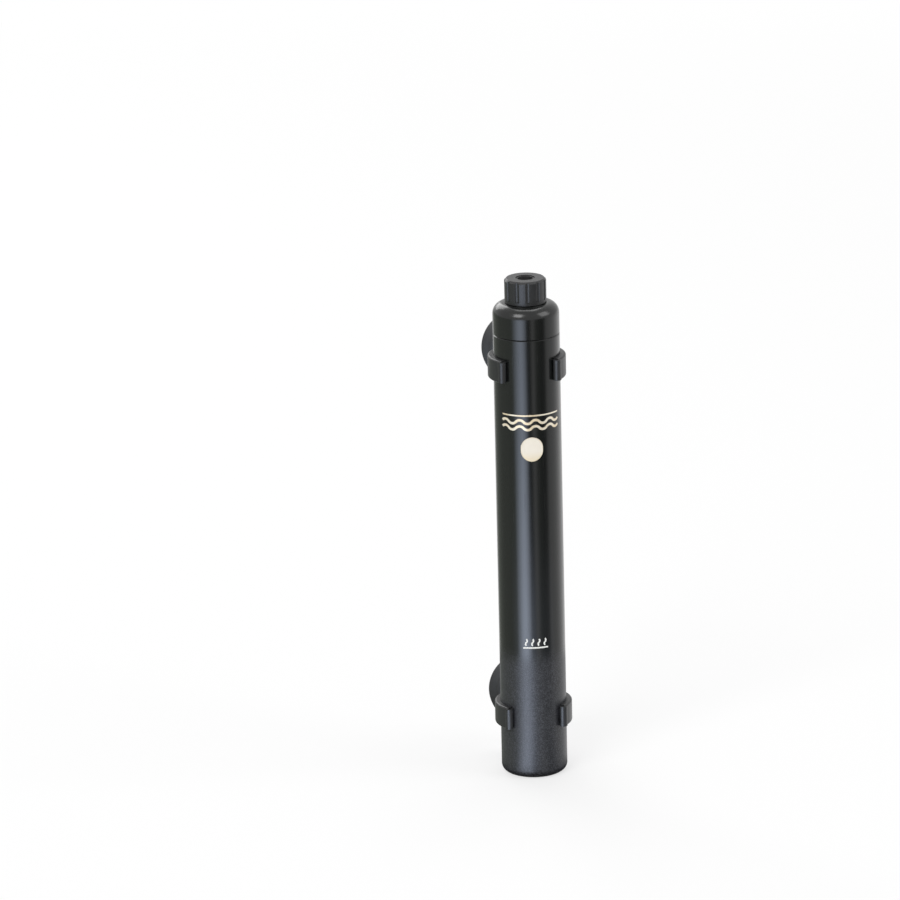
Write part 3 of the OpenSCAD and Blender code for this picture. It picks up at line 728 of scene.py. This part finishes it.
class HEATER_OT_clips(bpy.types.Operator):
    """Finishes the clips and models the suction cups"""
    bl_idname = "heater.clips"
    bl_label = "Clips and suction cups"

    def execute(self, context):
        dress(satin_black("satin_clip"), "lower_clip", "upper_clip")
        shape = context.scene.heater_cups
        sides = ("lower", "upper")
        boxes = [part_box(side + "_suction_cup") for side in sides]
        middles = [(low.z + high.z) / 2 for low, high in boxes]
        button_y, high = boxes[0][0].y, boxes[0][1]
        back_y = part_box("lower_clip")[1].y + shape.gap
        cup = turn(self.cup_outline(shape, button_y, back_y, high), middles[0])
        cups = repeat(cup, 2, (0, 0, middles[1] - middles[0]))
        for side, cup, middle in zip(sides, cups, middles):
            cup.name = side + "_cup_moulding"
            dress(self.cup_rubber(side + "_cup_rubber", shape, high, middle), cup)
            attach(cup, side + "_cup")
            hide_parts(side + "_suction_cup")
        return {"FINISHED"}

    def cup_outline(self, cup, button_y, back_y, high):
        """Button, neck, flared back, rim, sealing ring and bowl, as (radius,
        y) from the axis round to the axis."""
        rim_r, wall_y = high.x, high.y
        button_r, neck_r, round_r = cup.button_d / 2, cup.neck_d / 2, 0.3 * MM
        hub_r, bowl_r = neck_r + 1.6 * MM, rim_r - cup.land
        rise, back_steps, bowl_steps = wall_y - back_y - cup.rim_t, 24, 48
        outline = [(0, button_y), (button_r - 2 * round_r, button_y),
                   (button_r, button_y + 2 * round_r),
                   (button_r, button_y + cup.button_t - round_r),
                   (button_r - round_r, button_y + cup.button_t),
                   (neck_r, button_y + cup.button_t), (neck_r, back_y)]
        for i in range(1, back_steps + 1):
            out = i / back_steps
            outline.append((hub_r + (rim_r - hub_r) * out,
                            back_y + self.flare(cup, rise, out)))
        outline += [(rim_r, wall_y - round_r), (rim_r - round_r, wall_y), (bowl_r, wall_y)]
        for i in range(1, bowl_steps + 1):
            out = 1 - i / bowl_steps
            outline.append((bowl_r * out, wall_y - self.sunk(cup, out)))
        return outline

    def flare(self, cup, rise, out):
        """How far the back stands out, from 0 at the hub to the rise at the
        rim: a hollow curve with two moulded steps."""
        curve = rise * out ** 0.8 * (1 - 0.12 * math.sin(math.pi * out))
        steps = sum(soft_step(out - at, 90) for at in (0.4, 0.72))
        return curve + cup.step_h * (steps - 2 * out)

    def sunk(self, cup, out):
        """How deep the bowl is, from its axis, where out is 0, to its edge,
        where it is 1: round, with two fine ridges and a dimple."""
        edge = 0.25 * MM * min(1, 12 * (1 - out))
        bowl = cup.hollow * (1 - out ** 2) + edge
        ridges = sum(math.exp(-((out - at) * 40) ** 2) for at in (0.45, 0.74))
        return bowl - cup.ridge_h * ridges + cup.dimple_h * soft_step(0.1 - out, 120)

    def cup_rubber(self, name, cup, high, middle):
        """Soft black rubber with a faint bloom; the bowl is smoother."""
        made = Material(name)
        x, y, z = made.axes()
        rise = z - middle
        out = (x * x + rise * rise) / (high.x - cup.land) ** 2
        bowl = abs(y - high.y + cup.hollow * (1.0 - out)).below(0.7 * MM, 0.1 * MM)
        bowl = bowl * out.below(0.97, 0.03)
        bloom = made.grain(4 * MM, 3.0)
        fine = made.grain(0.4 * MM, 1.0)
        return made.set(base_color=made.blend(bloom, (0.016, 0.0165, 0.0175),
                                              (0.032, 0.033, 0.035)),
                        roughness=(0.36 + bloom * 0.16 + fine * 0.05) * (1.0 - bowl * 0.5),
                        normal=made.bump(fine, 0.01 * MM))


class HEATER_OT_inside(bpy.types.Operator):
    """Finishes what the barrel holds inside"""
    bl_idname = "heater.inside"
    bl_label = "Inner parts"

    def execute(self, context):
        dress(clear_glass(), "glass_tube")
        dress(mottled("silicone_pale", (0.72, 0.7, 0.66), (0.8, 0.78, 0.74), 0.45),
              "bottom_pad", "lower_centring_ring", "upper_centring_ring")
        dress(mottled("stopper_rubber", (0.1, 0.105, 0.11), (0.14, 0.145, 0.15), 0.6),
              "glass_stopper")
        dress(mottled("potting_resin", (0.035, 0.037, 0.04), (0.06, 0.062, 0.065), 0.3),
              "potting_resin")
        dress(mottled("steatite", (0.8, 0.76, 0.68), (0.87, 0.84, 0.78), 0.7),
              "ceramic_core", "heat_shield")
        dress(ceramic_fibre(), "fibre_cushion", "fibre_plug")
        dress(resistance_wire(), "heating_coil")
        dress(braided_sleeving(), "coil_leads", "supply_leads")
        dress(board_mask(), "circuit_board")
        for node, legs in (("triac", self.triac_metal), ("control_chip", self.chip_legs),
                           ("thermistor", self.bead_legs)):
            dress(epoxy_package(node + "_package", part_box(node), legs), node)
        dress(mottled("film_amber", (0.5, 0.3, 0.06), (0.62, 0.4, 0.1), 0.3),
              "film_capacitor")
        dress(banded_lacquer(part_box("resistors")), "resistors")
        dress(brushed("cutout_can", (0.62, 0.64, 0.66)), "thermal_cutout")
        dress(brushed("crimp_brass", (0.68, 0.5, 0.2)), "crimp_splices")
        dress(mottled("lamp_red", (0.6, 0.05, 0.03), (0.75, 0.09, 0.05), 0.15),
              "indicator_led")
        dress(mottled("spacer_white", (0.8, 0.8, 0.78), (0.86, 0.86, 0.84), 0.5),
              "led_spacer")
        return {"FINISHED"}

    def triac_metal(self, place, low, high):
        """The three legs under the package and the tab over it."""
        z, leg, tab = place[2], 3 * MM, 4 * MM
        return z.below(low.z + leg, EDGE) + z.above(high.z - tab, EDGE)

    def chip_legs(self, place, low, high):
        """The rows of legs at the package's two sides."""
        leg = 0.79 * MM
        return abs(place[0]).above(high.x - leg, EDGE)

    def bead_legs(self, place, low, high):
        """The two wires behind the round bead."""
        bead = 2.6 * MM
        return place[1].above(low.y + bead, EDGE)


# ---------------------------------------------------------------- finishes

def satin_black(name):
    """Satin moulded plastic with a fine grain and paler rubbed patches."""
    made = Material(name)
    grain = made.grain(0.45 * MM)
    patch = made.grain(7 * MM)
    return made.set(base_color=made.blend(patch, (0.013, 0.0135, 0.0145),
                                          (0.021, 0.0215, 0.0225)),
                    roughness=0.34 + patch * 0.1 + grain * 0.04,
                    normal=made.bump(grain, 0.012 * MM))


def rubber_black(name):
    """Dry seal rubber with a grey bloom."""
    made = Material(name)
    bloom = made.grain(2.5 * MM, 3.0)
    return made.set(base_color=made.blend(bloom, (0.012, 0.012, 0.0125),
                                          (0.024, 0.024, 0.025)),
                    roughness=0.62 + bloom * 0.12, normal=made.bump(bloom, 0.04 * MM))


def mottled(name, dark, pale, roughness):
    """A plain material with a fine mottle of two colours."""
    made = Material(name)
    grain = made.grain(0.8 * MM, 3.0)
    return made.set(base_color=made.blend(grain, dark, pale),
                    roughness=roughness + grain * 0.12, normal=made.bump(grain, 0.03 * MM))


def clear_glass():
    """Clear glass with a faint green tint in long drawn streaks."""
    made = Material("clear_glass")
    drawn = made.grain(3 * MM, 2.0, (1.0, 1.0, 0.1))
    return made.set(base_color=made.blend(drawn, (0.93, 0.97, 0.96), (0.98, 1.0, 0.99)),
                    roughness=0.02 + drawn * 0.02, transmission_weight=1.0, ior=1.47)


def ceramic_fibre():
    """White pressed fibre."""
    made = Material("ceramic_fibre")
    strands = made.grain(0.35 * MM, 4.0, (1.0, 0.3, 2.0))
    return made.set(base_color=made.blend(strands, (0.7, 0.66, 0.58), (0.88, 0.86, 0.8)),
                    roughness=0.9 - strands * 0.05, normal=made.bump(strands, 0.15 * MM))


def resistance_wire():
    """A fine spiral, drawn as ridges on an oxidised wire."""
    made = Material("resistance_wire")
    _, _, z = made.axes()
    scale = made.grain(0.9 * MM, 3.0)
    return made.set(base_color=made.blend(scale, (0.22, 0.2, 0.18), (0.42, 0.37, 0.32)),
                    roughness=0.4 + scale * 0.2, metallic=0.9,
                    normal=made.bump(z.wave(0.3 * MM), 0.06 * MM))


def braided_sleeving():
    """A pale braid of crossed strands."""
    made = Material("braid_sleeving")
    x, _, z = made.axes()
    braid = abs((z + x).wave(MM)) * abs((z - x).wave(MM))
    return made.set(base_color=made.blend(braid, (0.5, 0.47, 0.4), (0.7, 0.67, 0.6)),
                    roughness=0.8 - braid * 0.1, normal=made.bump(braid, 0.05 * MM))


def board_mask():
    """Green mask over copper tracks that run up the board."""
    made = Material("board_mask")
    x, _, _ = made.axes()
    copper = abs(x.wave(2.6 * MM)).above(0.86, 0.04) * made.grain(5 * MM, 0.0).above(0.5, 0.02)
    return made.set(base_color=made.blend(copper, (0.03, 0.15, 0.07), (0.06, 0.26, 0.12)),
                    roughness=0.35 + copper * 0.08, normal=made.bump(copper, 0.03 * MM))


def epoxy_package(name, box, legs):
    """Black moulded epoxy with tinned metal where legs says, by its place."""
    made = Material(name)
    grain = made.grain(0.5 * MM, 3.0)
    metal = legs(made.axes(), *box)
    epoxy = made.blend(grain, (0.02, 0.021, 0.024), (0.035, 0.036, 0.04))
    return made.set(base_color=made.blend(metal, epoxy, TINNED), metallic=metal,
                    roughness=0.5 + grain * 0.1 - metal * 0.22,
                    normal=made.bump(grain, 0.02 * MM))


def banded_lacquer(box):
    """Tan lacquer with dark bands between two tinned legs."""
    made = Material("banded_lacquer")
    x, _, _ = made.axes()
    band = abs(x.wave(2.4 * MM)).above(0.85, 0.03)
    leg = 1.4 * MM
    legs = abs(x).above(box[1].x - leg, EDGE)
    tan = made.blend(band, (0.62, 0.45, 0.24), (0.18, 0.06, 0.03))
    return made.set(base_color=made.blend(legs, tan, TINNED), metallic=legs,
                    roughness=0.3 + band * 0.05)


def brushed(name, colour):
    """Metal with fine lines of a darker shade."""
    made = Material(name)
    line = made.grain(0.6 * MM, 2.0, (0.1, 1.0, 1.0))
    return made.set(base_color=made.blend(line, tuple(0.8 * c for c in colour), colour),
                    roughness=0.28 + line * 0.15, metallic=1.0)


# ------------------------------------------------------------------- panel

GROUPS = {"heater_camera": HeaterCamera, "heater_finish": HeaterFinish,
          "heater_marks": HeaterMarks, "heater_cups": HeaterCups}
STEPS = (HEATER_OT_stage, HEATER_OT_barrel, HEATER_OT_indicator, HEATER_OT_water_mark,
         HEATER_OT_heat_mark, HEATER_OT_clips, HEATER_OT_inside)


class HEATER_PT_panel(bpy.types.Panel):
    """Lists the heater's settings and steps"""
    bl_idname = "HEATER_PT_panel"
    bl_label = "Submersible heater"
    bl_space_type = "VIEW_3D"
    bl_region_type = "UI"
    bl_category = "Heater"

    def draw(self, context):
        for group in GROUPS:
            settings = getattr(context.scene, group)
            for name in settings.__annotations__:
                self.layout.prop(settings, name)
        for step in STEPS:
            self.layout.operator(step.bl_idname)


CLASSES = (*GROUPS.values(), *STEPS, HEATER_PT_panel)


def register():
    for made in CLASSES:
        bpy.utils.register_class(made)
    for name, group in GROUPS.items():
        setattr(bpy.types.Scene, name, PointerProperty(type=group))


def unregister():
    for name in GROUPS:
        delattr(bpy.types.Scene, name)
    for made in reversed(CLASSES):
        bpy.utils.unregister_class(made)


def main():
    register()
    for step in STEPS:
        group, name = step.bl_idname.split(".")
        getattr(getattr(bpy.ops, group), name)()


if __name__ == "__main__":
    main()
